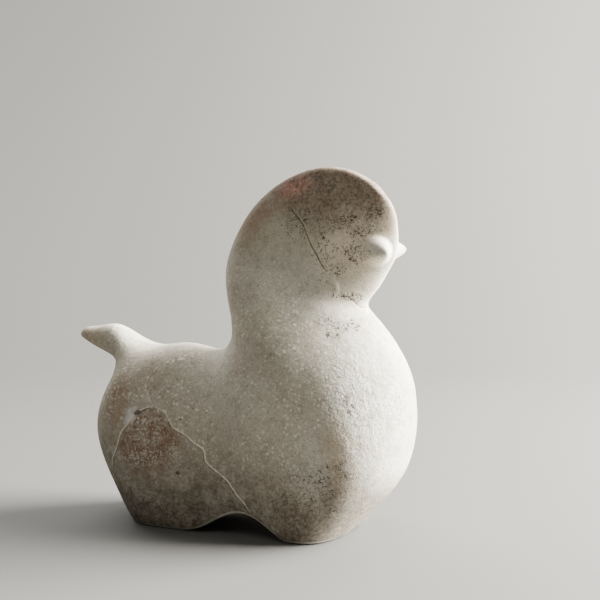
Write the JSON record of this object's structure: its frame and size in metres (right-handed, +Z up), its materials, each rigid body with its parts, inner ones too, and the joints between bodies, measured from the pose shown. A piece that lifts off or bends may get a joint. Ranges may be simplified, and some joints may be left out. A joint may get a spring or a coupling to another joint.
{
  "type": "ceramic horse sculpture",
  "caption": "Matte ceramic horse: a stout barrel on stubby feet, short upturned tail, tall neck and a flat round-crested head with small blunt nubs.",
  "frame": {"origin": "on the table under the middle of the horse's length, in its plane of symmetry", "axes": "+X points where the horse looks, +Y to its left, +Z up"},
  "size_m": [0.2267, 0.097, 0.2201],
  "materials": {
    "ceramic": "matte, warm off-white over grey-brown, mottled and finely pitted"
  },
  "bodies": {
    "root": {"horse": "ceramic"}
  },
  "joints": []
}
